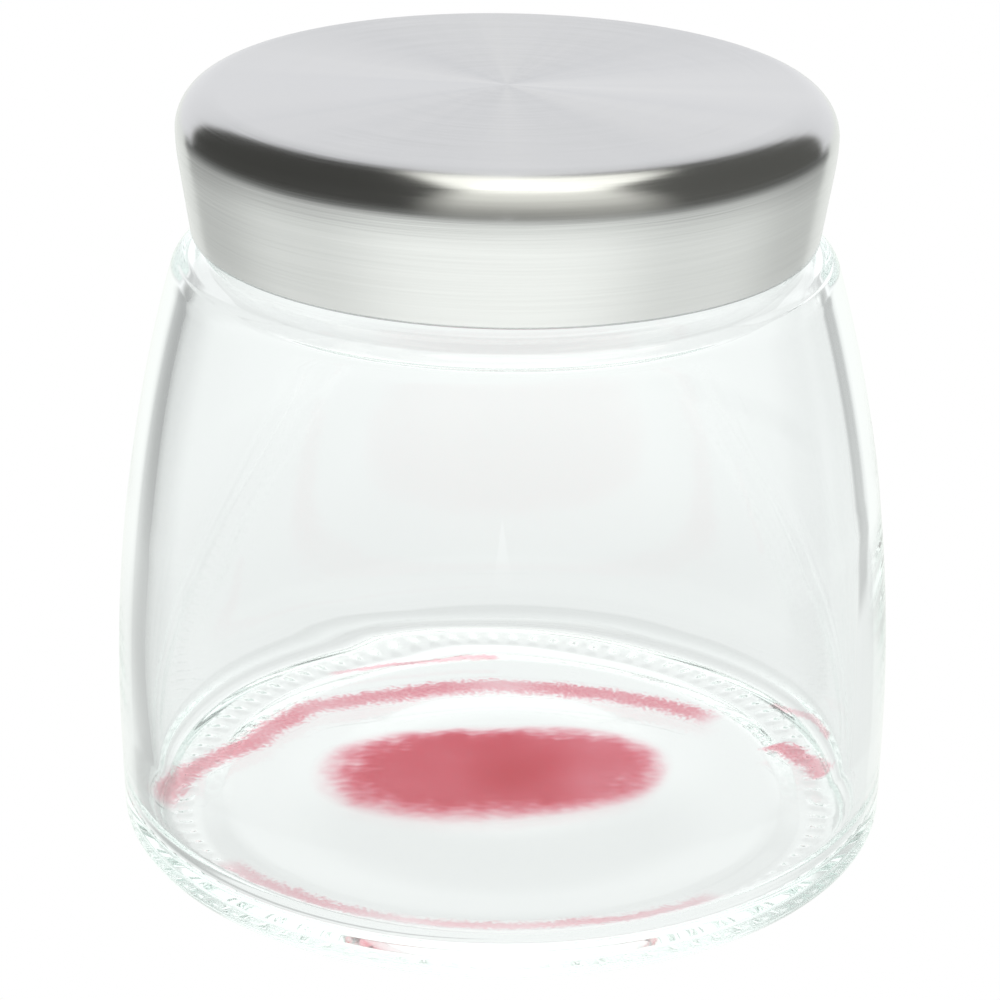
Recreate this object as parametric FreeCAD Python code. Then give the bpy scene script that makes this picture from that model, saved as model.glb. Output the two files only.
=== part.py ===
import FreeCAD, Part
import math
import os

# Squat clear-glass candy jar with a brushed stainless slip lid.
# Millimetres, +Z up; the origin is the middle of the ring that the jar stands on.
# Every round piece is a profile in the (radius, height) half-plane, turned about Z.
# Nodes: jar, lid, lid_liner, candy_residue.

# ---- jar body -------------------------------------------------------------
belly_radius = 60.0        # widest outer radius of the glass
belly_height = 13.6        # height at which the side is widest
heel_flare = 0.25          # the side opens by this much from the heel to the belly
heel_radius = 3.2          # outer rounding where the side meets the base
shoulder_radius = 49.6     # outer radius at the top of the side
shoulder_height = 91.4     # height of the top of the side
shoulder_lean = 16.4       # degrees by which the side leans inwards at the shoulder
shoulder_rounding = 1.2    # small radius of the shoulder's outer corner
shoulder_rise = 1.9        # the shoulder slopes up by this much to the neck
wall = 4.2                 # glass thickness of the side
side_pull_low = 0.044      # how far the side stays upright above the belly (share of its rise)
side_pull_high = 0.523     # how far it keeps its lean below the shoulder (share of its rise)

# ---- jar base -------------------------------------------------------------
floor_height = 4.0         # top of the glass floor above the table
inner_heel_radius = 5.0    # rounding between the floor and the inside of the wall
bearing_width = 8.5        # width of the flat ring that the jar stands on
bearing_ramp = 1.6         # width of the slope from that ring up to the recess
bearing_rounding = 0.4     # rounding of the ring's inner edge
base_recess = 0.8          # depth of the recess inside the ring
base_rounding = 1.0        # rounding of the steps in the base
punt_radius = 29.0         # radius of the deeper disc in the middle of the base
punt_depth = 0.6           # extra depth of that disc
punt_ramp = 1.2            # width of the slope at the disc's edge

# ---- knurled bearing ring -------------------------------------------------
knurl_count = 90           # radial flutes moulded into the ring that the jar stands on
knurl_inset = 1.2          # the flutes start this far outside the ring's inner edge
knurl_length = 2.8         # length of a flute
knurl_width = 1.9          # width of a flute at the ring's face
knurl_depth = 0.25         # depth of a flute

# ---- lid ------------------------------------------------------------------
lid_rim_radius = 46.8      # outer radius at the lid's lower edge
lid_gap = 3.5              # the lower edge hangs this far above the side's top corner
lid_height = 21.8          # lower edge to top face
lid_taper = 8.4            # degrees by which the skirt opens towards the top
lid_edge_radius = 6.1      # large rounding between the skirt and the top face
lid_sheet = 0.7            # sheet thickness
hem_width = 1.5            # thickness of the turned-in lower edge
hem_height = 2.4           # height of the turned-in lower edge
hem_rounding = 0.65        # rounding of the turned-in edge
hem_lip_rounding = 0.2     # rounding of the cut edge inside the hem

# ---- neck and liner -------------------------------------------------------
neck_clearance = 0.35      # play between the lid's hem and the glass neck
neck_wall = 4.1            # glass thickness of the neck
neck_root_radius = 1.0     # fillet between the shoulder and the neck
lip_rounding = 1.7         # rounding of the neck's upper edge
throat_rounding = 3.0      # rounding where the inside turns from the side to the neck
liner_thickness = 1.0      # soft disc between the lid and the glass lip
liner_inset = 0.4          # the disc stops this far short of the lid's inner rounding

# ---- candy residue --------------------------------------------------------
residue_half_width = 28.5  # left to right
residue_half_depth = 17.0  # front to back
residue_back = 2.0         # its middle lies this far behind the jar's axis
residue_thickness = 0.5    # a dried syrup film
residue_power = 2.5        # squareness of its outline (2 is an ellipse)
residue_wobble = 0.05      # unevenness of its outline (share of the radius)
residue_points = 24        # points of its closed outline curve

# ---- worked out -----------------------------------------------------------
lean = math.radians(shoulder_lean)
taper = math.radians(lid_taper)
lid_rim_height = shoulder_height + lid_gap
lid_top = lid_rim_height + lid_height
lip_height = lid_top - lid_sheet - liner_thickness
neck_radius = lid_rim_radius - hem_width - neck_clearance
neck_inner_radius = neck_radius - neck_wall
neck_root_height = shoulder_height + shoulder_rise
heel_corner = belly_radius - heel_flare
ring_inside = heel_corner - heel_radius - bearing_width


def at(radius, height):
    """A point of a turned profile."""
    return FreeCAD.Vector(radius, 0, height)


def rounded(corners):
    """Straight edges through (radius, height, rounding) corners, each corner rounded by an arc."""
    edges = []
    start = at(*corners[0][:2])
    for here, after in zip(corners[1:], corners[2:]):
        corner = at(*here[:2])
        back = (start - corner).normalize()
        ahead = (at(*after[:2]) - corner).normalize()
        half = back.getAngle(ahead) / 2
        reach = here[2] / math.tan(half)
        if reach > 0:
            first = corner + back * reach
            last = corner + ahead * reach
            middle_way = (back + ahead).normalize()
            middle = corner + middle_way * (here[2] / math.sin(half) - here[2])
            edges.append(Part.makeLine(start, first))
            edges.append(Part.Arc(first, middle, last).toShape())
            start = last
        else:
            edges.append(Part.makeLine(start, corner))
            start = corner
    edges.append(Part.makeLine(start, at(*corners[-1][:2])))
    return edges


def side_curve(low, high, low_way):
    """The side between its belly point and its shoulder point, leaving and arriving at set slopes."""
    rise = high.z - low.z
    lower_handle = low + low_way * (side_pull_low * rise)
    upper_handle = high + FreeCAD.Vector(math.sin(lean), 0, -math.cos(lean)) * (side_pull_high * rise)
    curve = Part.BezierCurve()
    curve.setPoles([low, lower_handle, upper_handle, high])
    return curve.toShape()


def turned(edges):
    """The solid of revolution of a closed profile about Z."""
    face = Part.Face(Part.Wire(Part.__sortEdges__(edges)))
    return face.revolve(FreeCAD.Vector(), FreeCAD.Vector(0, 0, 1), 360)


def skirt_radius(height, inset=0.0):
    """Radius of the lid's skirt at a height, measured this far in from its outer face."""
    return lid_rim_radius + (height - lid_rim_height) * math.tan(taper) - inset / math.cos(taper)


def make_knurl():
    """The flutes of the bearing ring: shallow three-sided cutters, laid out radially."""
    start = ring_inside + knurl_inset
    section = Part.makePolygon([
        FreeCAD.Vector(start, -knurl_width / 2, 0),
        FreeCAD.Vector(start, 0, knurl_depth),
        FreeCAD.Vector(start, knurl_width / 2, 0),
        FreeCAD.Vector(start, -knurl_width / 2, 0),
    ])
    cutter = Part.Face(section).extrude(FreeCAD.Vector(knurl_length, 0, 0))
    cutters = []
    for index in range(knurl_count):
        copy = cutter.copy()
        copy.rotate(FreeCAD.Vector(), FreeCAD.Vector(0, 0, 1), 360 * index / knurl_count)
        cutters.append(copy)
    return Part.makeCompound(cutters)


def make_jar():
    """Glass body: bearing ring and stepped base, belly, shoulder, neck and hollow inside."""
    up = FreeCAD.Vector(0, 0, 1)
    belly = at(belly_radius, belly_height)
    shoulder_low = at(shoulder_radius, shoulder_height)
    # the curve stops just below the shoulder's corner, and a straight end carries the rounding
    down_side = FreeCAD.Vector(math.sin(lean), 0, -math.cos(lean))
    shoulder_start = shoulder_low + down_side * (2 * shoulder_rounding)
    base = rounded([
        (0, base_recess + punt_depth, 0),
        (punt_radius - punt_ramp, base_recess + punt_depth, base_rounding),
        (punt_radius, base_recess, base_rounding),
        (ring_inside - bearing_ramp, base_recess, base_rounding),
        (ring_inside, 0, bearing_rounding),
        (heel_corner, 0, heel_radius),
        (belly.x, belly.z, 0),
    ])
    outside = side_curve(belly, shoulder_start, up)
    inner_shoulder = shoulder_low - FreeCAD.Vector(math.cos(lean), 0, math.sin(lean)) * wall
    inner_side_top = inner_shoulder + down_side * wall
    inner_belly = at(belly_radius - wall, belly_height + floor_height)
    throat_corner = inner_side_top - down_side * (wall / 2)
    neck = rounded([
        (shoulder_start.x, shoulder_start.z, 0),
        (shoulder_low.x, shoulder_low.z, shoulder_rounding),
        (neck_radius, neck_root_height, neck_root_radius),
        (neck_radius, lip_height, lip_rounding),
        (neck_inner_radius, lip_height, lip_rounding),
        (neck_inner_radius, throat_corner.z + throat_rounding, throat_rounding),
        (throat_corner.x, throat_corner.z, throat_rounding / 2),
        (inner_side_top.x, inner_side_top.z, 0),
    ])
    inside = side_curve(inner_belly, inner_side_top, up)
    floor = rounded([
        (inner_belly.x, inner_belly.z, 0),
        (inner_belly.x, floor_height, inner_heel_radius),
        (0, floor_height, 0),
    ])
    axis = Part.makeLine(at(0, floor_height), at(0, base_recess + punt_depth))
    return turned(base + [outside] + neck + [inside] + floor + [axis]).cut(make_knurl())


def make_lid():
    """Spun sheet lid: flat top, large rounded edge, tapered skirt, turned-in lower edge."""
    hem_top = lid_rim_height + hem_height
    ceiling = lid_top - lid_sheet
    outer = rounded([
        (0, lid_top, 0),
        (skirt_radius(lid_top), lid_top, lid_edge_radius),
        (lid_rim_radius, lid_rim_height, hem_rounding),
        (lid_rim_radius - hem_width, lid_rim_height, hem_rounding),
        (lid_rim_radius - hem_width, hem_top, hem_lip_rounding),
        (skirt_radius(hem_top, lid_sheet), hem_top, 0),
        (skirt_radius(ceiling, lid_sheet), ceiling, lid_edge_radius - lid_sheet),
        (0, ceiling, 0),
    ])
    axis = Part.makeLine(at(0, ceiling), at(0, lid_top))
    return turned(outer + [axis])


def make_liner():
    """Soft sealing disc, flat against the lid's underside and resting on the glass lip."""
    inner_rounding = (lid_edge_radius - lid_sheet) * math.tan((math.pi / 2 + taper) / 2)
    flat_radius = skirt_radius(lid_top - lid_sheet, lid_sheet) - inner_rounding
    return Part.makeCylinder(flat_radius - liner_inset, liner_thickness, at(0, lip_height))


def make_residue():
    """Thin dried film on the floor, a rounded uneven patch."""
    def outline_point(step):
        angle = 2 * math.pi * step / residue_points
        across = abs(math.cos(angle) / residue_half_width) ** residue_power
        along = abs(math.sin(angle) / residue_half_depth) ** residue_power
        reach = (across + along) ** (-1 / residue_power)
        reach *= 1 + residue_wobble * (math.sin(3 * angle + 0.6) + 0.5 * math.sin(5 * angle + 2.1)) / 1.5
        return FreeCAD.Vector(reach * math.cos(angle), residue_back + reach * math.sin(angle), floor_height)

    outline = Part.BSplineCurve()
    outline.interpolate([outline_point(step) for step in range(residue_points)], PeriodicFlag=True)
    patch = Part.Face(Part.Wire([outline.toShape()]))
    return patch.extrude(FreeCAD.Vector(0, 0, residue_thickness))


def export(node, shape):
    """Check one sub-part and write it under its node's name."""
    solid = shape.Solids[0] if shape.ShapeType != "Solid" else shape
    if len(shape.Solids) != 1 or not solid.isValid():
        raise ValueError(node + " is not one valid solid")
    solid.exportStep("parts/" + node + ".step")
    box = solid.BoundBox
    print(f"{node}: {solid.Volume:.0f} mm3, r {box.XMax:.2f}, z {box.ZMin:.2f} to {box.ZMax:.2f}")


os.makedirs("parts", exist_ok=True)
export("jar", make_jar())
export("lid", make_lid())
export("lid_liner", make_liner())
export("candy_residue", make_residue())
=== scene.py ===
import math

import bpy
from mathutils import Matrix, Vector, noise


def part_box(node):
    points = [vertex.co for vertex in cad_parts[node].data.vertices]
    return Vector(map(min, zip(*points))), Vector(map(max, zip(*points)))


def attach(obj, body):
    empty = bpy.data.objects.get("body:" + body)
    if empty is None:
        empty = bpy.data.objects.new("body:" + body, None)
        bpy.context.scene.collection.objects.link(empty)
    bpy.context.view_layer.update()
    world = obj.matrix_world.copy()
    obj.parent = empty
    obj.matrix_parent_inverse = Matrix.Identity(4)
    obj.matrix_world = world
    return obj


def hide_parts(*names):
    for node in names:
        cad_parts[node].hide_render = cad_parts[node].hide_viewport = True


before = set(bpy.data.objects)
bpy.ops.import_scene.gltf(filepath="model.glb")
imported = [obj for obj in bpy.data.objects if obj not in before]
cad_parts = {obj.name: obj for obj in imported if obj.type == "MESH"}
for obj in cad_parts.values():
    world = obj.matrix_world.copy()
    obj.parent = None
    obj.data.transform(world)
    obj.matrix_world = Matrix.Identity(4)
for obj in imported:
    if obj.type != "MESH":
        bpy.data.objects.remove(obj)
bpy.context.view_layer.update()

# Squat clear-glass candy jar with a brushed stainless slip lid, a foamed liner in the lid and a
# dried pink sugar film on the glass floor. Lengths are in millimetres until a mesh is made.

MM = 0.001
TURN = 2 * math.pi

# ---------------------------------------------------------------- sizes, from the frame
jar_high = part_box("jar")[1]
lid_low, lid_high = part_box("lid")
liner_low, liner_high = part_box("lid_liner")
film_low, film_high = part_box("candy_residue")

lip_height = jar_high[2] / MM
lid_rim_height = lid_low[2] / MM
lid_top = lid_high[2] / MM
liner_radius = liner_high[0] / MM
liner_thickness = (liner_high[2] - liner_low[2]) / MM
floor_height = film_low[2] / MM
film_half_width = (film_high[0] - film_low[0]) / 2 / MM
film_half_depth = (film_high[1] - film_low[1]) / 2 / MM
film_middle = (film_low[0] + film_high[0]) / 2 / MM, (film_low[1] + film_high[1]) / 2 / MM

# ---------------------------------------------------------------- sizes of the glass
belly_radius = 60.0
belly_height = 13.6
heel_flare = 0.25
heel_radius = 3.2
shoulder_radius = 49.6
shoulder_height = 91.4
shoulder_lean = math.radians(16.4)
shoulder_rounding = 4.0          # fire-polished: softer than the mould
shoulder_start = 2.4             # where the side curve gives way to the shoulder, below its corner
shoulder_rise = 1.9
wall = 4.2
side_pull_low = 0.044            # how far the side keeps to its direction at the belly
side_pull_high = 0.523           # and at the shoulder, as shares of its height
side_steps = 44
inner_heel_radius = 5.0
bearing_width = 8.5
bearing_ramp = 4.0               # the fire-polished steps of the base are long and soft
bearing_rounding = 7.0
base_recess = 0.8
recess_rounding = 14.0
punt_radius = 33.0
punt_depth = 0.6
punt_ramp = 11.0
punt_rounding = 150.0
neck_wall = 4.1
neck_root_radius = 1.0
lip_rounding = 1.7
throat_rounding = 3.0
longest_edge = 2.5               # of the turned meshes, along their profiles
same_height = 0.01               # heights closer than this are level
knurl_count = 90
knurl_segments = 8               # of the turned mesh, to each flute
knurl_inset = 1.2
knurl_length = 2.8
knurl_width = 1.9
knurl_depth = 0.12
heel_corner = belly_radius - heel_flare
ring_inside = heel_corner - heel_radius - bearing_width
knurl_inner = ring_inside + knurl_inset
knurl_outer = knurl_inner + knurl_length
knurl_fade = 0.2
inner_corner = belly_radius - wall
wall_middle = belly_radius - 0.55 * wall             # at the belly, just past half the wall
floor_reach = inner_corner - inner_heel_radius       # radius of the flat of the floor
wave_height = 0.05               # of the waves that blowing leaves in the inner wall
wave_rise = 30.0                 # they set in over this height, above the inner heel
waves = (                        # times round, mm of height to a radian, start, share
    (2, 19, 0.0, 1.0),
    (3, -11, 1.3, 1.0),
    (5, 7, 0.4, 0.5),
)

# ---------------------------------------------------------------- sizes of the lid
lid_rim_radius = 46.8
lid_taper = math.radians(8.4)
lid_edge_radius = 6.1
lid_sheet = 0.7
lid_segments = 360
hem_width = 1.5
hem_height = 2.4
hem_rounding = 0.65
hem_end_rounding = 0.2
skirt_bend_height = 13.1         # above the rim, where the skirt starts to turn upright
skirt_bend_rounding = 32.0
skirt_top_taper = math.radians(2.0)
neck_clearance = 0.35
neck_radius = lid_rim_radius - hem_width - neck_clearance
neck_inner_radius = neck_radius - neck_wall
lid_tilt = math.radians(0.5)     # the slip lid sits a little lower on the right
liner_segments = 180
liner_longest_edge = 4.0
liner_edge = 0.15
liner_clearance = 0.02           # under the lid

# ---------------------------------------------------------------- sizes of the sugar
film_gap = 0.02                  # between a film and the glass under it
stain_rings = 80
stain_spokes = 320
stain_shift = -3.1, -1.5         # of its middle from that of the plain solid
stain_stretch = 1.02, 1.005
stain_power = 2.4                # between an ellipse, 2, and a rectangle
stain_edge = 0.003               # thickness that is left at its very edge
stain_thickness = 0.44
stain_pool = 0.15                # thicker in the middle, where the syrup dried last
stain_thinning = 0.09            # thinner at the right, from this far out, over this breadth
thinning_from = 7.0
thinning_breadth = 8.0
stain_fade = 0.24                # share of its breadth over which the stain runs out
fade_left = 0.14                 # and the shares that are added at each side
fade_back = 0.14
fade_front = 0.26
tide_rows = 22
tide_step = 0.28
tide_end = 0.06                  # share of a line's length over which each end tapers
tide_edge = 0.002                # thickness that is left at its very edge


# ---------------------------------------------------------------- profile tools
def smooth(value):
    """0 below 0, 1 above 1, and an S-curve between."""
    value = min(max(value, 0.0), 1.0)
    return value * value * (3 - 2 * value)


def rounded(corners, step=0.35):
    """Points of a path through (radius, height, rounding) corners; each rounding is an arc whose
    points are about a step apart."""
    points = [Vector(corners[0][:2])]
    for here, after in zip(corners[1:], corners[2:]):
        corner = Vector(here[:2])
        back = (points[-1] - corner).normalized()
        ahead = (Vector(after[:2]) - corner).normalized()
        half = back.angle(ahead) / 2
        if here[2] == 0:
            points.append(corner)
            continue
        centre = corner + (back + ahead).normalized() * (here[2] / math.sin(half))
        first = corner + back * (here[2] / math.tan(half)) - centre
        sweep = math.pi - 2 * half
        side = math.copysign(1, back.x * ahead.y - back.y * ahead.x)
        count = max(5, math.ceil(here[2] * sweep / step))
        for index in range(count + 1):
            turn = side * -sweep * index / count
            spin = Vector((first.x * math.cos(turn) - first.y * math.sin(turn),
                           first.x * math.sin(turn) + first.y * math.cos(turn)))
            points.append(centre + spin)
    points.append(Vector(corners[-1][:2]))
    return points


def side_curve(low, high):
    """The side: upright at the belly, leaning in at the shoulder; end points left out."""
    rise = high.y - low.y
    handle_low = low + Vector((0, side_pull_low * rise))
    lean_way = Vector((math.sin(shoulder_lean), -math.cos(shoulder_lean)))
    handle_high = high + lean_way * (side_pull_high * rise)
    points = []
    for index in range(1, side_steps):
        t = index / side_steps
        points.append(low * (1 - t) ** 3 + handle_low * (3 * t * (1 - t) ** 2)
                      + handle_high * (3 * t * t * (1 - t)) + high * t ** 3)
    return points


def dense(points, longest):
    """The same path with its long straight runs divided."""
    result = [points[0]]
    for start, end in zip(points, points[1:]):
        count = max(1, math.ceil((end - start).length / longest))
        result += [start.lerp(end, index / count) for index in range(1, count + 1)]
    return result


def lathe(name, profile, segments, relief=None):
    """A mesh turned about Z from a (radius, height) path; ends on the axis close as fans.
    relief(radius, height, angle) gives a shift (outwards, upwards) in mm."""
    verts = []
    rings = []
    for point in profile:
        if point.x < 1e-6:
            rings.append([len(verts)])
            verts.append((0, 0, point.y * MM))
            continue
        ring = []
        for index in range(segments):
            angle = TURN * index / segments
            out, up = relief(point.x, point.y, angle) if relief else (0, 0)
            ring.append(len(verts))
            reach = (point.x + out) * MM
            verts.append((reach * math.cos(angle), reach * math.sin(angle), (point.y + up) * MM))
        rings.append(ring)
    faces = []
    for low, high in zip(rings, rings[1:]):
        for index in range(segments):
            after = (index + 1) % segments
            if len(low) == 1:
                faces.append((low[0], high[after], high[index]))
            elif len(high) == 1:
                faces.append((low[index], low[after], high[0]))
            else:
                faces.append((low[index], low[after], high[after], high[index]))
    return new_piece(name, verts, faces)


def new_piece(name, verts, faces):
    """A smooth-shaded object at the origin, its mesh in metres."""
    mesh = bpy.data.meshes.new(name)
    mesh.from_pydata(verts, [], faces)
    mesh.validate()
    mesh.shade_smooth()
    piece = bpy.data.objects.new(name, mesh)
    bpy.context.scene.collection.objects.link(piece)
    return piece


# ---------------------------------------------------------------- node tools
def linear(code):
    """Linear RGBA of an sRGB hex colour."""
    def channel(value):
        return value / 12.92 if value <= 0.04045 else ((value + 0.055) / 1.055) ** 2.4
    return [channel(int(code[i:i + 2], 16) / 255) for i in (0, 2, 4)] + [1]


def add(tree, kind, inputs=None, **settings):
    """Adds a node with its settings. Inputs gives sockets a value, or the output that feeds them."""
    node = tree.nodes.new("ShaderNode" + kind)
    for key, value in settings.items():
        setattr(node, key, value)
    for socket, value in (inputs or {}).items():
        if isinstance(value, bpy.types.NodeSocket):
            tree.links.new(value, node.inputs[socket])
        else:
            node.inputs[socket].default_value = value
    return node


def new_material(name):
    """An empty material and its tree."""
    material = bpy.data.materials.new(name)
    material.use_nodes = True
    material.node_tree.nodes.clear()
    return material, material.node_tree


# ---------------------------------------------------------------- materials
def soda_lime_container_glass():
    """Clear pressed and blown container glass: fire-polished, so mirror smooth; its trace of iron
    gives a faint green only where the path through the glass is long."""
    material, tree = new_material("soda_lime_container_glass")
    glass = add(tree, "BsdfPrincipled", {"Base Color": linear("FFFFFF"), "Roughness": 0.0, "IOR": 1.52,
                                         "Transmission Weight": 1.0})
    iron = add(tree, "VolumeAbsorption", {"Color": linear("BFEFE0"), "Density": 1.0})
    add(tree, "OutputMaterial", {"Surface": glass.outputs["BSDF"], "Volume": iron.outputs["Volume"]})
    return material


def circular_brushed_stainless():
    """Stainless sheet spun and brushed in circles: the fine rings spread reflections across
    them, so lights smear down the skirt and fan out over the top. On the top that fan is also
    painted into the colour, as faint lighter and darker rays."""
    brush_pitch = 0.35               # the real lines are finer: these are as coarse as they need to show
    brush_turns = 1.2                # changes along a line, to a radian
    material, tree = new_material("circular_brushed_stainless")
    place = add(tree, "TexCoord").outputs["Object"]
    split = add(tree, "SeparateXYZ", {"Vector": place})
    x, y, z = (split.outputs[axis] for axis in "XYZ")
    flat = add(tree, "CombineXYZ", {"X": x, "Y": y}).outputs["Vector"]
    radius = add(tree, "VectorMath", {0: flat}, operation="LENGTH").outputs["Value"]
    angle = add(tree, "Math", {0: y, 1: x}, operation="ARCTAN2").outputs["Value"]
    # the brushed lines run round the lid
    rings = add(tree, "CombineXYZ", {"X": radius, "Y": z, "Z": angle}).outputs["Vector"]
    pitch = 1 / (brush_pitch * MM)
    rings = add(tree, "VectorMath", {0: rings, 1: (pitch, pitch, brush_turns)},
                operation="MULTIPLY").outputs["Vector"]
    lines = add(tree, "TexNoise", {"Vector": rings, "Scale": 1.0, "Detail": 3.0, "Roughness": 0.6})
    lines = lines.outputs["Fac"]
    bump = add(tree, "Bump", {"Height": lines, "Strength": 0.14, "Distance": 0.1 * MM})
    rough = add(tree, "MapRange", {"Value": lines, "From Min": 0.3, "From Max": 0.7, "To Min": 0.17,
                                   "To Max": 0.24})
    # painted reflection: on the top, faint lighter and darker rays from the middle are painted into the
    # colour where lights would fan out over the circular brushing; weaker further out
    around = add(tree, "VectorMath", {0: flat}, operation="NORMALIZE").outputs["Vector"]
    rays = add(tree, "TexNoise", {"Vector": around, "Scale": 1.7, "Detail": 6.0, "Roughness": 0.6})
    rays = add(tree, "MapRange", {"Value": rays.outputs["Fac"], "From Min": 0.25, "From Max": 0.75,
                                  "To Min": -1.0, "To Max": 1.0})
    on_top = add(tree, "MapRange", {"Value": z, "From Min": (lid_top - 3) * MM,
                                    "From Max": (lid_top - 0.5) * MM, "To Min": 0.25, "To Max": 1.0})
    inward = add(tree, "MapRange", {"Value": radius, "From Min": 2 * MM, "From Max": lid_rim_radius * MM,
                                    "To Min": 1.0, "To Max": 0.35})
    strength = add(tree, "Math", {0: inward.outputs[0], 1: on_top.outputs[0]}, operation="MULTIPLY")
    painted_glint_shade = add(tree, "Math", {0: rays.outputs[0], 1: strength.outputs[0]}, operation="MULTIPLY")
    painted_glint_tone = add(tree, "MapRange", {"Value": painted_glint_shade.outputs[0], "From Min": -1.0, "From Max": 1.0})
    # painted reflection: the steel's colour runs between these two greys along the painted rays
    colour = add(tree, "Mix", {"Factor": painted_glint_tone.outputs[0], 6: linear("C8C9CB"), 7: linear("DBDBDA")},
                 data_type="RGBA")
    ring = add(tree, "Tangent", direction_type="RADIAL", axis="Z")
    steel = add(tree, "BsdfPrincipled", {
        "Base Color": colour.outputs[2], "Roughness": rough.outputs[0], "Normal": bump.outputs[0],
        "Tangent": ring.outputs[0], "Metallic": 1.0, "Anisotropic": 0.8, "Anisotropic Rotation": 0.25})
    add(tree, "OutputMaterial", {"Surface": steel.outputs["BSDF"]})
    return material


def foamed_polyethylene():
    """Foamed liner sheet: matt, faintly uneven off-white. Its glow stands in for the light that
    the glass neck carries to it."""
    cells_to_a_mm = 1.8
    material, tree = new_material("foamed_polyethylene")
    place = add(tree, "TexCoord").outputs["Object"]
    cells = add(tree, "TexNoise", {"Vector": place, "Scale": cells_to_a_mm / MM, "Detail": 2.0})
    bump = add(tree, "Bump", {"Height": cells.outputs["Fac"], "Strength": 0.3, "Distance": 0.1 * MM})
    foam = add(tree, "BsdfPrincipled", {
        "Base Color": linear("F2F1EC"), "Roughness": 0.8, "Normal": bump.outputs[0],
        "Emission Color": linear("F2F4F0"), "Emission Strength": 1.3})
    add(tree, "OutputMaterial", {"Surface": foam.outputs["BSDF"]})
    return material


def boiled_sugar_film():
    """Dried pink syrup: a clear coloured film whose depth of colour follows its thickness. Its
    index is nearly that of air, because a film that sticks to glass adds no mirror of its own."""
    material, tree = new_material("boiled_sugar_film")
    film = add(tree, "BsdfPrincipled", {"Base Color": linear("FFFFFF"), "Roughness": 0.0, "IOR": 1.02,
                                        "Transmission Weight": 1.0})
    dye = add(tree, "VolumeAbsorption", {"Color": linear("EB2A72"), "Density": 2530.0})
    add(tree, "OutputMaterial", {"Surface": film.outputs["BSDF"], "Volume": dye.outputs["Volume"]})
    return material


def give(piece, material):
    """Finishes a piece and lets it ride on the jar's one body."""
    piece.data.materials.append(material)
    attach(piece, "root")


# ---------------------------------------------------------------- the jar
def jar_profile():
    """The closed section of the glass, from the middle of the base round to the middle of the floor."""
    shoulder = Vector((shoulder_radius, shoulder_height))
    down = Vector((math.sin(shoulder_lean), -math.cos(shoulder_lean)))
    inwards = Vector((-math.cos(shoulder_lean), -math.sin(shoulder_lean)))
    base = rounded([
        (0, base_recess + punt_depth, 0),
        (punt_radius - punt_ramp, base_recess + punt_depth, punt_rounding),
        (punt_radius, base_recess, punt_rounding),
        (ring_inside - bearing_ramp, base_recess, recess_rounding),
        (ring_inside, 0, bearing_rounding),
        (knurl_inner - knurl_fade, 0, 0),
        (knurl_inner + knurl_fade, 0, 0),
        (knurl_outer - knurl_fade, 0, 0),
        (knurl_outer + knurl_fade, 0, 0),
        (heel_corner, 0, heel_radius),
        (belly_radius, belly_height, 0),
    ])
    top = shoulder + down * shoulder_start
    outside = side_curve(Vector((belly_radius, belly_height)), top)
    inner_top = shoulder + inwards * wall + down * wall
    throat = inner_top - down * (wall / 2)
    inner_belly = Vector((inner_corner, belly_height + floor_height))
    neck = rounded([
        (top.x, top.y, 0),
        (shoulder_radius, shoulder_height, shoulder_rounding),
        (neck_radius, shoulder_height + shoulder_rise, neck_root_radius),
        (neck_radius, lip_height, lip_rounding),
        (neck_inner_radius, lip_height, lip_rounding),
        (neck_inner_radius, throat.y + throat_rounding, throat_rounding),
        (throat.x, throat.y, throat_rounding / 2),
        (inner_top.x, inner_top.y, 0),
    ], 0.25)
    inside = side_curve(inner_belly, inner_top)
    inside.reverse()
    floor = rounded([
        (inner_belly.x, inner_belly.y, 0),
        (inner_belly.x, floor_height, inner_heel_radius),
        (0, floor_height, 0),
    ], 0.5)
    return dense(base + outside + neck + inside + floor, longest_edge)


def jar_relief(radius, height, angle):
    """Round-bottomed flutes in the bearing ring, and the slight waves of the blown inner wall."""
    out = 0.0
    up = 0.0
    if height < same_height and knurl_inner < radius < knurl_outer:
        cutter = (knurl_width ** 2 / 4 + knurl_depth ** 2) / (2 * knurl_depth)
        pitch = TURN / knurl_count
        aside = radius * ((angle + pitch / 2) % pitch - pitch / 2)
        if abs(aside) < knurl_width / 2:
            up = math.sqrt(cutter ** 2 - aside ** 2) - (cutter - knurl_depth)
    if floor_height + same_height < height < shoulder_height and radius < wall_middle:
        lift = smooth((height - floor_height - inner_heel_radius) / wave_rise)
        for times, climb, start, share in waves:
            out += wave_height * lift * share * math.sin(times * angle + height / climb + start)
    return out, up


def make_jar():
    """The one-piece glass body, with its cavity."""
    glass = lathe("jar_glass", jar_profile(), knurl_count * knurl_segments, jar_relief)
    give(glass, soda_lime_container_glass())
    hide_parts("jar")


# ---------------------------------------------------------------- lid and liner
def skirt_radius(height, inset=0.0):
    """Radius of the skirt's taper at a height, this far inside its outer face."""
    return lid_rim_radius + (height - lid_rim_height) * math.tan(lid_taper) - inset / math.cos(lid_taper)


def tilt(piece):
    """Tips the lid's mesh about the middle of its rim, lower on the right."""
    pivot = Matrix.Translation((0, 0, lid_rim_height * MM))
    piece.data.transform(pivot @ Matrix.Rotation(lid_tilt, 4, "Y") @ pivot.inverted())


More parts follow.
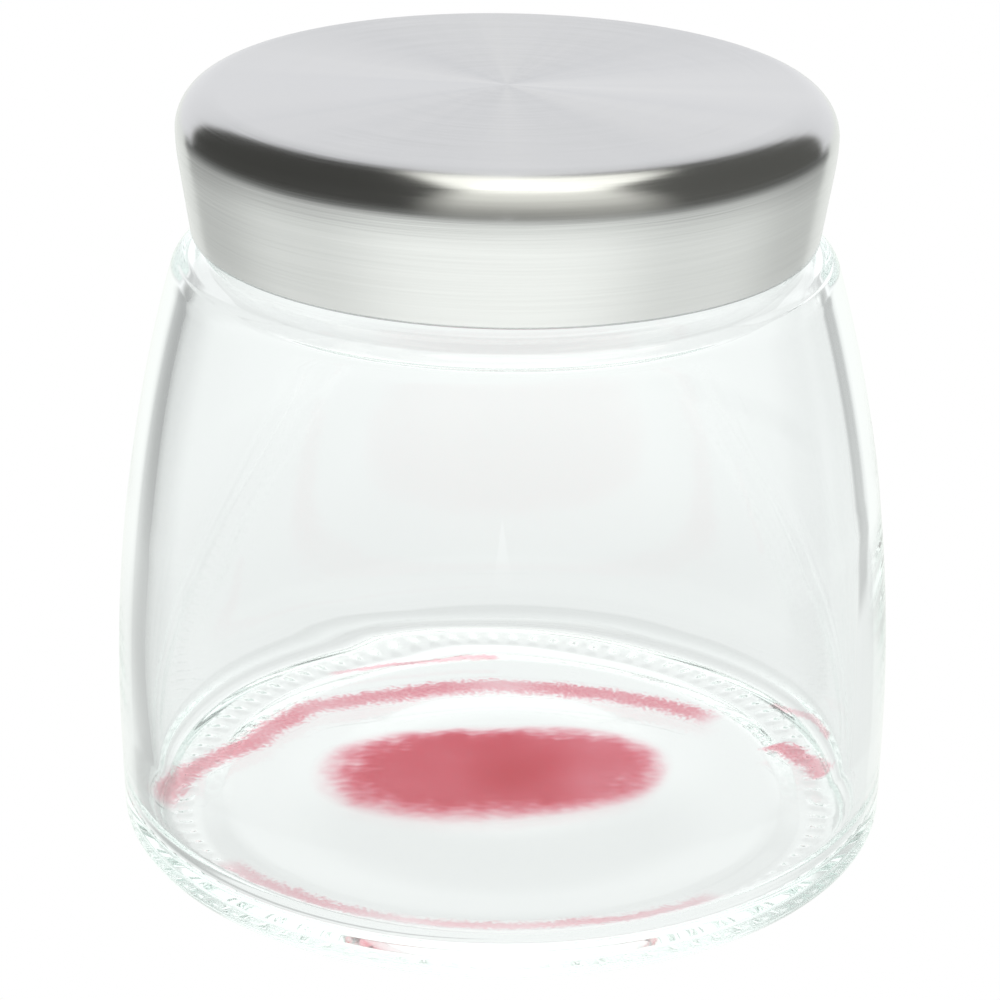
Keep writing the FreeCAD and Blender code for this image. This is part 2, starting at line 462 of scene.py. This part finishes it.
def make_lid():
    """The pressed sheet lid: flat top, large rounded edge, tapered skirt and turned-in hem."""
    ceiling = lid_top - lid_sheet
    hem_top = lid_rim_height + hem_height
    bend = lid_rim_height + skirt_bend_height
    top_radius = skirt_radius(bend) + (lid_top - bend) * math.tan(skirt_top_taper)
    shell = rounded([
        (0, lid_top, 0),
        (top_radius, lid_top, lid_edge_radius),
        (skirt_radius(bend), bend, skirt_bend_rounding),
        (lid_rim_radius, lid_rim_height, hem_rounding),
        (lid_rim_radius - hem_width, lid_rim_height, hem_rounding),
        (lid_rim_radius - hem_width, hem_top, hem_end_rounding),
        (skirt_radius(hem_top, lid_sheet), hem_top, 0),
        (skirt_radius(bend, lid_sheet), bend, skirt_bend_rounding - lid_sheet),
        (top_radius - lid_sheet, ceiling, lid_edge_radius - lid_sheet),
        (0, ceiling, 0),
    ], 0.3)
    shell.reverse()
    lid = lathe("lid_shell", dense(shell, longest_edge), lid_segments)
    tilt(lid)
    give(lid, circular_brushed_stainless())
    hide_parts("lid")


def make_liner():
    """The foam disc: flat on the glass lip, pressed thinner where the lid sits lower."""
    disc = rounded([
        (0, lip_height, 0),
        (liner_radius, lip_height, liner_edge),
        (liner_radius, lip_height + liner_thickness, liner_edge),
        (0, lip_height + liner_thickness, 0),
    ], 0.05)
    liner = lathe("liner_disc", dense(disc, liner_longest_edge), liner_segments)
    for vertex in liner.data.vertices:
        if vertex.co.z > (lip_height + liner_thickness / 2) * MM:
            vertex.co.z -= vertex.co.x * math.tan(lid_tilt) + liner_clearance * MM
    give(liner, foamed_polyethylene())
    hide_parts("lid_liner")


# ---------------------------------------------------------------- sugar film
def noise_at(x, y, scale, seed):
    """Smooth noise from -1 to 1 at a place in mm, with features of about the given size."""
    return noise.noise(Vector((x / scale, y / scale, seed)))


def noise_along(turn, rate, seed, layer):
    """Smooth noise from -1 to 1 along a line, which changes faster at a higher rate."""
    return noise.noise(Vector((turn * rate, seed, layer)))


def closed_sheet(name, columns, closed_round):
    """A thin closed mesh from columns of (lower point, upper point) pairs, in mm."""
    verts = []
    rows = len(columns[0])
    for column in columns:
        for low, high in column:
            verts += [tuple(value * MM for value in low), tuple(value * MM for value in high)]
    count = len(columns)
    faces = []
    for index in range(count if closed_round else count - 1):
        after = (index + 1) % count
        for row in range(rows - 1):
            a = 2 * (index * rows + row)
            b = 2 * (after * rows + row)
            faces.append((a + 1, a + 3, b + 3, b + 1))
            faces.append((a, b, b + 2, a + 2))
        for row, turn in ((0, -1), (rows - 1, 1)):
            a = 2 * (index * rows + row)
            b = 2 * (after * rows + row)
            faces.append((a, b, b + 1, a + 1)[::turn])
    if not closed_round:
        for index, turn in ((0, 1), (count - 1, -1)):
            for row in range(rows - 1):
                a = 2 * (index * rows + row)
                faces.append((a, a + 2, a + 3, a + 1)[::turn])
    return new_piece(name, verts, faces)


def on_glass(x, y, lift):
    """A point this far above the inside of the glass, where (x, y) is laid from the flat floor
    round the inner heel and up the wall."""
    run = math.hypot(x, y)
    turn = min(max((run - floor_reach) / inner_heel_radius, 0), math.pi / 2)
    climb = max(run - floor_reach - inner_heel_radius * math.pi / 2, 0)
    radius = min(run, floor_reach) + (inner_heel_radius - lift) * math.sin(turn)
    height = floor_height + inner_heel_radius - (inner_heel_radius - lift) * math.cos(turn) + climb
    return radius * x / run, radius * y / run, height


def stain_reach(angle):
    """Distance from the stain's middle to its edge: between an ellipse and a rectangle, and a
    little askew."""
    across = abs(math.cos(angle) / (film_half_width * stain_stretch[0])) ** stain_power
    along = abs(math.sin(angle) / (film_half_depth * stain_stretch[1])) ** stain_power
    skew = 1 + 0.05 * math.sin(2 * angle) + 0.025 * math.sin(3 * angle + 0.6)
    return (across + along) ** (-1 / stain_power) * skew


def stain_depth(x, y, share, fade):
    """Thickness of the stain at a place, this share of the way to its edge: uneven, pooled in
    the middle, thinner at the right, and run out at a ragged edge."""
    ragged = 0.09 * noise_at(x, y, 5.0, 1.0) + 0.07 * noise_at(x * 0.5, y, 1.0, 4.0)
    edge = smooth((1 - share + ragged * (1 - share) * 5) / fade)
    pooled = stain_pool * math.exp(-((x - 2 + 0.15 * y) / 6) ** 2 - (y / 9) ** 2)
    thinner = stain_thinning * smooth((x - thinning_from) / thinning_breadth)
    uneven = 0.05 * noise_at(x, y, 8.0, 2.0) + 0.02 * noise_at(x, y, 1.5, 3.0)
    return stain_edge + edge * (stain_thickness + uneven + pooled - thinner)


def make_stain(syrup):
    """The stain on the floor: a thin uneven film that runs out to nothing at its edge."""
    middle_x = film_middle[0] + stain_shift[0]
    middle_y = film_middle[1] + stain_shift[1]
    under = floor_height + film_gap
    columns = []
    for spoke in range(stain_spokes):
        angle = TURN * spoke / stain_spokes
        reach = stain_reach(angle)
        fade = (stain_fade + fade_left * max(-math.cos(angle), 0) ** 3
                + fade_back * max(math.sin(angle), 0) ** 2
                + fade_front * max(-math.sin(angle), 0) ** 2)
        column = []
        for ring in range(stain_rings + 1):
            share = max(ring / stain_rings, 0.004)
            x = middle_x + reach * share * math.cos(angle)
            y = middle_y + reach * share * math.sin(angle)
            column.append(((x, y, under), (x, y, under + stain_depth(x, y, share, fade))))
        columns.append(column)
    stain = closed_sheet("sugar_film", columns, True)
    give(stain, syrup)
    stain.visible_glossy = False         # a dry film gives no clear mirror image in the glass
    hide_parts("candy_residue")


def make_tide_line(name, syrup, half_width, half_depth, middle_y, spans, breadth, depth, seed, pinches=()):
    """A line of dried syrup on an ellipse round the stain, over spans given in degrees from the
    right, anticlockwise: broken, grainy, and climbing the inner heel where it is wide. Pinches
    (degrees, width, share) draw the ellipse in."""
    for number, (start, end) in enumerate(spans):
        length = math.radians(end - start) * (half_width + half_depth) / 2
        count = math.ceil(length / tide_step)
        columns = []
        for index in range(count + 1):
            along = index / count
            degrees = start + (end - start) * index / count
            turn = math.radians(degrees)
            pinch = 1.0
            for place, width, share in pinches:
                pinch -= share * math.exp(-((degrees - place) / width) ** 2)
            drift = 1.3 * noise_along(turn, 2.2, seed, 0) + 0.5 * noise_along(turn, 7, seed, 5)
            swell = 0.75 + 0.55 * noise_along(turn, 3.5, seed, 9)
            taper = smooth(along / tide_end) * smooth((1 - along) / tide_end)
            column = []
            for row in range(tide_rows + 1):
                aside = 2 * row / tide_rows - 1
                off = drift + aside * breadth * 0.5
                x = (half_width * pinch + off) * math.cos(turn)
                y = middle_y + (half_depth * pinch + off) * math.sin(turn)
                grain = 0.75 * noise_at(x, y, 0.6, seed) + 0.35 * noise_at(x, y, 2.2, seed + 3)
                body = smooth((1 - abs(aside)) * 1.7 - 0.25 + grain)
                speckle = 1 + 0.5 * noise_at(x, y, 0.5, seed + 7)
                high = tide_edge + max(depth * taper * swell * body * speckle, 0)
                column.append((on_glass(x, y, film_gap), on_glass(x, y, film_gap + high)))
            columns.append(column)
        line = closed_sheet(name + "_" + str(number + 1), columns, False)
        line.visible_glossy = False
        give(line, syrup)


def make_tide_lines(syrup):
    """Where the syrup stood as it dried: a broad line behind and at the sides, a thin one above
    it on the inner heel, and one in front."""
    make_tide_line("tide_back", syrup, half_width=53.0, half_depth=38.5, middle_y=-8.0,
                   spans=((44, 189), (8, 28)), breadth=7.4, depth=0.24, seed=11.0,
                   pinches=((150, 15, 0.10), (38, 15, 0.06)))
    make_tide_line("tide_upper", syrup, half_width=57.0, half_depth=41.5, middle_y=0.0,
                   spans=((8, 36), (90, 122)), breadth=2.0, depth=0.12, seed=23.0)
    make_tide_line("tide_front", syrup, half_width=50.0, half_depth=47.0, middle_y=-2.0,
                   spans=((214, 310),), breadth=6.0, depth=0.13, seed=37.0)


# ---------------------------------------------------------------- camera and studio
eye_distance = 7.7 * belly_radius        # level distance from the jar's axis
eye_height = 4.0116 * belly_radius
eye_dip = 0.39                           # radians below the horizon
eye_roll = 0.0075                        # radians
eye_shift = -0.00357                     # share of the sensor's width
focal_length = 116.4
sensor_width = 36.0
nearest = 10.0                           # nothing closer to the eye is seen

bounces = 96                             # enough for light that is guided round the heel

# What glass and steel mirror. A direction has a height, its Z, and a bearing, in degrees to the
# right of straight back. Levels are brightness, and a fade runs from its first value to its last.
sweep_level = 0.98
sweep_edge = 0.93, 1.1                   # half its width over its distance
sweep_lean = 0.45                        # how fast its edges draw in as it rises
ceiling_left = 0.07
ceiling_right = 0.12
ceiling_fade = -0.1, 0.6                 # from left to right
strip_bearing = 166
strip_spread = 50, 27                    # degrees from its bearing
strip_low = 0.27                         # level at the horizon
strip_high = 1.1                         # and overhead
box_level = 1.6
box_middle = 0.12, 0.05                  # slopes from straight up, to the right and backwards
box_half = 0.36, 0.38
box_softness = 0.06, 0.05
table_front = 1.46
table_side = 1.13
table_front_bearing = 184
table_back = 0.78                        # share that is left behind the jar
table_far = 0.12                         # share that is left near the horizon
table_fade = -0.5, -0.06                 # by height
horizon_fade = -0.12, -0.02              # by height, from the table to the room above it
above_colour = 1.0, 1.0, 0.92, 1         # tints of the light, linear
sweep_colour = 0.985, 0.99, 1.01, 1
table_colour = 0.975, 1.0, 0.96, 1

# What is seen through the glass.
through_colour = 0.965, 1.0, 0.99, 1
steepest_level = 0.91                    # straight down; each span of height adds its rise
through_levels = (                       # start and end height, rise
    (-0.75, -0.56, -0.14),
    (-0.52, -0.44, 0.11),
    (-0.42, -0.32, 0.13),
    (-0.1, 0.1, 0.2),
)
left_bearing = -45
left_loss_low = 0.38                     # share that is lost there, low down
left_loss_high = 0.52                    # and higher up
left_fade = -0.39, -0.25                 # by height, between the two
line_bearing = 38                        # a thin upright line
line_spread = 6, 2                       # degrees from its bearing
line_loss = 0.42
line_fade = -0.385, -0.36                # by height: there is none of it below


def make_camera():
    """The eye in front of the jar and above it, rolled by a hair."""
    data = bpy.data.cameras.new("camera")
    data.lens = focal_length
    data.sensor_width = sensor_width
    data.shift_x = eye_shift
    data.clip_start = nearest * MM
    camera = bpy.data.objects.new("camera", data)
    bpy.context.scene.collection.objects.link(camera)
    upright = Vector((0, math.sin(eye_dip), math.cos(eye_dip)))
    across = Vector((1, 0, 0))
    right = across * math.cos(eye_roll) + upright * math.sin(eye_roll)
    up = upright * math.cos(eye_roll) - across * math.sin(eye_roll)
    backwards = right.cross(up)
    camera.matrix_world = Matrix((
        (right.x, up.x, backwards.x, 0),
        (right.y, up.y, backwards.y, -eye_distance * MM),
        (right.z, up.z, backwards.z, eye_height * MM),
        (0, 0, 0, 1),
    ))
    bpy.context.scene.camera = camera


def towards(tree, level_way, bearing, start, end, low, high):
    """A value that runs softly from low to high as the direction turns to a bearing. Start and end
    are cosines of the angle that is left between them."""
    turn = math.radians(bearing)
    cosine = add(tree, "VectorMath", {0: level_way, 1: (math.sin(turn), math.cos(turn), 0)},
                 operation="DOT_PRODUCT").outputs["Value"]
    return add(tree, "MapRange", {"Value": cosine, "From Min": start, "From Max": end, "To Min": low,
                                  "To Max": high}, interpolation_type="SMOOTHSTEP").outputs[0]


def beam(tree, level_way, bearing, spread, low, high):
    """The same, where the spread gives the two angles in degrees."""
    start, end = (math.cos(math.radians(angle)) for angle in spread)
    return towards(tree, level_way, bearing, start, end, low, high)


def light_from_above(tree, way, level_way):
    """What is mirrored from above the horizon: the sweep, the dark ceiling, the strip and the box.
    Gives its brightness, and the share of it that is sweep."""
    split = add(tree, "SeparateXYZ", {"Vector": way})
    x, y, z = (split.outputs[axis] for axis in "XYZ")
    # the sweep stands behind the jar, and its straight edges lean in as it rises
    depth = add(tree, "Math", {0: y, 1: 0.001}, operation="MAXIMUM").outputs[0]
    width = add(tree, "Math", {0: x}, operation="ABSOLUTE").outputs[0]
    width = add(tree, "Math", {0: width, 1: depth}, operation="DIVIDE").outputs[0]
    rise = add(tree, "Math", {0: z, 1: depth}, operation="DIVIDE").outputs[0]
    edge = add(tree, "Math", {0: rise, 1: sweep_lean, 2: width}, operation="MULTIPLY_ADD").outputs[0]
    sweep = add(tree, "MapRange", {"Value": edge, "From Min": sweep_edge[0], "From Max": sweep_edge[1],
                                   "To Min": 1.0, "To Max": 0.0},
                interpolation_type="SMOOTHSTEP").outputs[0]
    ceiling = add(tree, "MapRange", {"Value": x, "From Min": ceiling_fade[0], "From Max": ceiling_fade[1],
                                     "To Min": ceiling_left, "To Max": ceiling_right},
                  interpolation_type="SMOOTHSTEP").outputs[0]
    room = add(tree, "Mix", {"Factor": sweep, 2: ceiling, 3: sweep_level}, data_type="FLOAT").outputs[0]
    # a tall soft strip behind the eye, brighter the higher it goes
    height = add(tree, "MapRange", {"Value": z, "From Min": 0.0, "From Max": 1.0, "To Min": strip_low,
                                    "To Max": strip_high}, interpolation_type="SMOOTHSTEP").outputs[0]
    strip = beam(tree, level_way, strip_bearing, strip_spread, 0.0, height)
    # a soft box in the ceiling
    up = add(tree, "Math", {0: z, 1: 0.001}, operation="MAXIMUM").outputs[0]
    slope = add(tree, "VectorMath", {0: way, 1: up}, operation="DIVIDE").outputs[0]
    slope = add(tree, "VectorMath", {0: slope, 1: (*box_middle, 0)}, operation="SUBTRACT").outputs[0]
    slope = add(tree, "VectorMath", {0: slope}, operation="ABSOLUTE").outputs[0]
    slope = add(tree, "SeparateXYZ", {"Vector": slope})
    box = box_level
    for axis, half, softness in zip("XY", box_half, box_softness):
        box = add(tree, "MapRange", {"Value": slope.outputs[axis], "From Min": half - softness,
                                     "From Max": half + softness, "To Min": box, "To Max": 0.0},
                  interpolation_type="SMOOTHSTEP").outputs[0]
    above = add(tree, "Math", {0: room, 1: strip}, operation="ADD").outputs[0]
    above = add(tree, "Math", {0: above, 1: box}, operation="ADD").outputs[0]
    return above, sweep


def light_from_table(tree, height, level_way):
    """What is mirrored from the table: brightest in front, dim towards the horizon, except behind
    the jar, where the table runs on into the sweep."""
    near = towards(tree, level_way, table_front_bearing, 0.35, 1.0, table_side, table_front)
    back = towards(tree, level_way, 180, -0.6, 0.0, table_back, 1.0)
    far = add(tree, "MapRange", {"Value": height, "From Min": table_fade[0], "From Max": table_fade[1],
                                 "To Min": 1.0, "To Max": table_far},
              interpolation_type="SMOOTHSTEP").outputs[0]
    table = add(tree, "Math", {0: near, 1: back}, operation="MULTIPLY").outputs[0]
    table = add(tree, "Math", {0: table, 1: far}, operation="MULTIPLY").outputs[0]
    behind = towards(tree, level_way, 0, 0.74, 0.82, 0.0, sweep_level)
    return add(tree, "Math", {0: table, 1: behind}, operation="MAXIMUM").outputs[0]


def light_through_glass(tree, height, level_way):
    """What is seen through the glass: the white of table and sweep, by height, with less towards
    the back left and in one thin line towards the back right."""
    level = steepest_level
    for start, end, rise in through_levels:
        step = add(tree, "MapRange", {"Value": height, "From Min": start, "From Max": end, "To Min": 0.0,
                                      "To Max": rise}, interpolation_type="SMOOTHSTEP").outputs[0]
        level = add(tree, "Math", {0: level, 1: step}, operation="ADD").outputs[0]
    left = add(tree, "MapRange", {"Value": height, "From Min": left_fade[0], "From Max": left_fade[1],
                                  "To Min": left_loss_low, "To Max": left_loss_high},
               interpolation_type="SMOOTHSTEP").outputs[0]
    left = towards(tree, level_way, left_bearing, 0.94, 0.998, 0.0, left)
    line = beam(tree, level_way, line_bearing, line_spread, 0.0, line_loss)
    line = add(tree, "MapRange", {"Value": height, "From Min": line_fade[0], "From Max": line_fade[1],
                                  "To Min": 0.0, "To Max": line},
               interpolation_type="SMOOTHSTEP").outputs[0]
    for loss in (left, line):
        kept = add(tree, "Math", {0: 1.0, 1: loss}, operation="SUBTRACT").outputs[0]
        level = add(tree, "Math", {0: level, 1: kept}, operation="MULTIPLY").outputs[0]
    return level


def make_room():
    """A studio given by direction alone. Glass and steel mirror a pale table, a bright sweep
    behind, a dark ceiling with a soft box in it, and a tall soft strip behind the eye. Light
    that comes through the glass comes from a plainer, whiter room, and the eye sees only white."""
    world = bpy.data.worlds.new("studio")
    world.use_nodes = True
    bpy.context.scene.world = world
    tree = world.node_tree
    tree.nodes.clear()
    way = add(tree, "TexCoord").outputs["Generated"]
    height = add(tree, "SeparateXYZ", {"Vector": way}).outputs["Z"]
    level_way = add(tree, "VectorMath", {0: way, 1: (1, 1, 0)}, operation="MULTIPLY").outputs[0]
    level_way = add(tree, "VectorMath", {0: level_way}, operation="NORMALIZE").outputs[0]

    above, sweep = light_from_above(tree, way, level_way)
    table = light_from_table(tree, height, level_way)
    horizon = add(tree, "MapRange", {"Value": height, "From Min": horizon_fade[0],
                                     "From Max": horizon_fade[1], "To Min": 1.0, "To Max": 0.0},
                  interpolation_type="SMOOTHSTEP").outputs[0]
    mirrored = add(tree, "Mix", {"Factor": horizon, 2: above, 3: table}, data_type="FLOAT").outputs[0]
    tint = add(tree, "Mix", {"Factor": sweep, 6: above_colour, 7: sweep_colour}, data_type="RGBA")
    tint = add(tree, "Mix", {"Factor": horizon, 6: tint.outputs[2], 7: table_colour}, data_type="RGBA")
    mirrored = add(tree, "Background", {"Color": tint.outputs[2], "Strength": mirrored})
    through = light_through_glass(tree, height, level_way)
    through = add(tree, "Background", {"Color": through_colour, "Strength": through})
    white = add(tree, "Background", {"Color": (1, 1, 1, 1), "Strength": 1.0})

    rays = add(tree, "LightPath")
    room = add(tree, "MixShader", {"Fac": rays.outputs["Is Transmission Ray"], 1: mirrored.outputs[0],
                                   2: through.outputs[0]})
    room = add(tree, "MixShader", {"Fac": rays.outputs["Is Camera Ray"], 1: room.outputs[0],
                                   2: white.outputs[0]})
    add(tree, "OutputWorld", {"Surface": room.outputs[0]})


def make_floor():
    """The plain white table. Only the eye sees it: what it gives to glass and steel is in the room."""
    half = 6000.0 * MM
    drop = -0.1 * MM
    mesh = bpy.data.meshes.new("floor")
    mesh.from_pydata([(-half, -half, drop), (half, -half, drop), (half, half, drop), (-half, half, drop)],
                     [], [(0, 1, 2, 3)])
    floor = bpy.data.objects.new("floor", mesh)
    bpy.context.scene.collection.objects.link(floor)
    for ray in ("diffuse", "glossy", "transmission", "shadow"):
        setattr(floor, "visible_" + ray, False)
    material, tree = new_material("white_acrylic_table")
    light = add(tree, "Emission", {"Color": (1, 1, 1, 1), "Strength": 1.0})
    add(tree, "OutputMaterial", {"Surface": light.outputs[0]})
    mesh.materials.append(material)


make_jar()
make_lid()
make_liner()
sugar = boiled_sugar_film()
make_stain(sugar)
make_tide_lines(sugar)
make_camera()
make_room()
make_floor()

scene = bpy.context.scene
scene.view_settings.view_transform = "Standard"
scene.cycles.max_bounces = bounces
scene.cycles.transmission_bounces = bounces
scene.cycles.glossy_bounces = bounces
